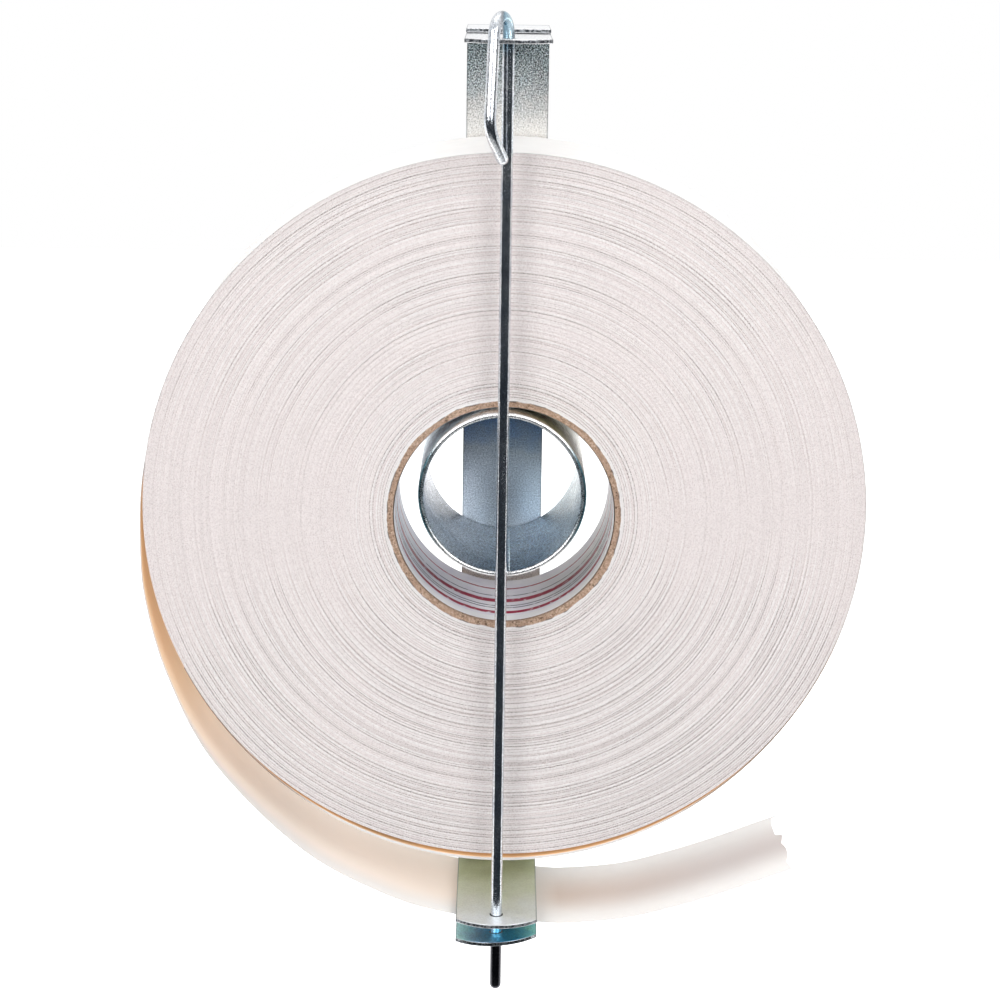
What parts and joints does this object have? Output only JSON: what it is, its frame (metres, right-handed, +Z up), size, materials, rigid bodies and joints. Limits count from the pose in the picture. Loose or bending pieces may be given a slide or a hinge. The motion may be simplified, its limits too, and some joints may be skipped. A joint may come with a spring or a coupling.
{
  "type": "drywall tape reel",
  "caption": "Belt-worn steel strap holder for a roll of paper joint tape, with a short tube for the core, a lift-out retaining rod and a slot the tape leaves by.",
  "frame": {"origin": "on the back face of the rear strap, which lies against the hip, level with the drum's axis and in the middle of the strap's width", "axes": "+Z up as worn, +Y out of the back face towards the wearer, +X to the right as seen from the front; the roll turns about an axis along Y"},
  "size_m": [0.252, 0.0927, 0.3465],
  "materials": {
    "zinc_strap": "satin",
    "zinc_tube": "satin",
    "zinc_wire": "satin",
    "weld": "rough",
    "joint_tape": "matte",
    "core_board": "matte",
    "label_paper": "semi-gloss"
  },
  "bodies": {
    "holder": {"inner_strap": "zinc_strap", "belt_strap": "zinc_strap", "hub_drum": "zinc_tube", "drum_weld_top": "weld", "drum_weld_bottom": "weld", "outer_tape_turn": "joint_tape"},
    "roll": {"tape_roll": "joint_tape", "paper_core": "core_board", "core_label": "label_paper"},
    "rod": {"retaining_rod": "zinc_wire"}
  },
  "joints": [
    {"name": "roll_spin", "type": "hinge", "parent": "holder", "child": "roll", "pos_m": [0.0007, -0.0382, -0.00877], "axis": [0, -1, 0], "continuous": true},
    {"name": "rod_lift", "type": "slide", "parent": "holder", "child": "rod", "axis": [0, 0, 1], "range_m": [0, 0.0295]}
  ]
}
